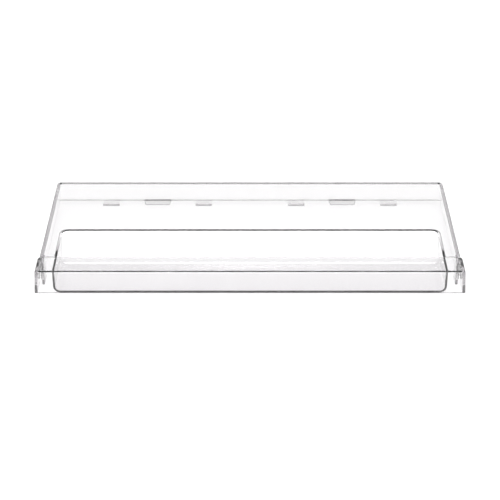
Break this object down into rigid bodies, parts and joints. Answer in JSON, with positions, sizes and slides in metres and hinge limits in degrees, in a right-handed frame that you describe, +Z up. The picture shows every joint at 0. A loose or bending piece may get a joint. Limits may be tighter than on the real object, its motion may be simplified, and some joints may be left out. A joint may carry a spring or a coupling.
{
  "type": "clear drawer front panel",
  "caption": "Clear moulded drawer-front panel lying face up, with a full-width grip bar, a finger scoop behind it, and snap hooks and tabs along its back rim.",
  "frame": {"origin": "under the middle of the whole object, on the surface it rests on", "axes": "+X across the width, +Z up through the face plate, -Y towards the grip edge"},
  "size_m": [0.4424, 0.1854, 0.027],
  "materials": {
    "clear_panel": "clear, polished mould",
    "clear_grip": "clear, polished mould"
  },
  "bodies": {
    "panel": {"front_panel": "clear_panel", "grip_cup": "clear_grip", "locating_tab_left": "clear_panel", "locating_tab_right": "clear_panel"},
    "grip": {"grip_bar": "clear_grip"},
    "hook_1": {"snap_hook_1": "clear_panel"},
    "hook_2": {"snap_hook_2": "clear_panel"},
    "hook_3": {"snap_hook_3": "clear_panel"},
    "hook_4": {"snap_hook_4": "clear_panel"}
  },
  "joints": [
    {"name": "grip_pull_off", "type": "slide", "parent": "panel", "child": "grip", "axis": [0, -1, 0], "range_m": [0, 0.03]},
    {"name": "hook_1_flex", "type": "hinge", "parent": "panel", "child": "hook_1", "pos_m": [-0.15705, 0.08905, 0.0026], "axis": [1, 0, 0], "range_deg": [0, 8], "stiffness_Nm_per_rad": 0.3},
    {"name": "hook_2_flex", "type": "hinge", "parent": "panel", "child": "hook_2", "pos_m": [-0.05235, 0.08905, 0.0026], "axis": [1, 0, 0], "range_deg": [0, 8], "stiffness_Nm_per_rad": 0.3},
    {"name": "hook_3_flex", "type": "hinge", "parent": "panel", "child": "hook_3", "pos_m": [0.05235, 0.08905, 0.0026], "axis": [1, 0, 0], "range_deg": [0, 8], "stiffness_Nm_per_rad": 0.3},
    {"name": "hook_4_flex", "type": "hinge", "parent": "panel", "child": "hook_4", "pos_m": [0.15705, 0.08905, 0.0026], "axis": [1, 0, 0], "range_deg": [0, 8], "stiffness_Nm_per_rad": 0.3}
  ]
}
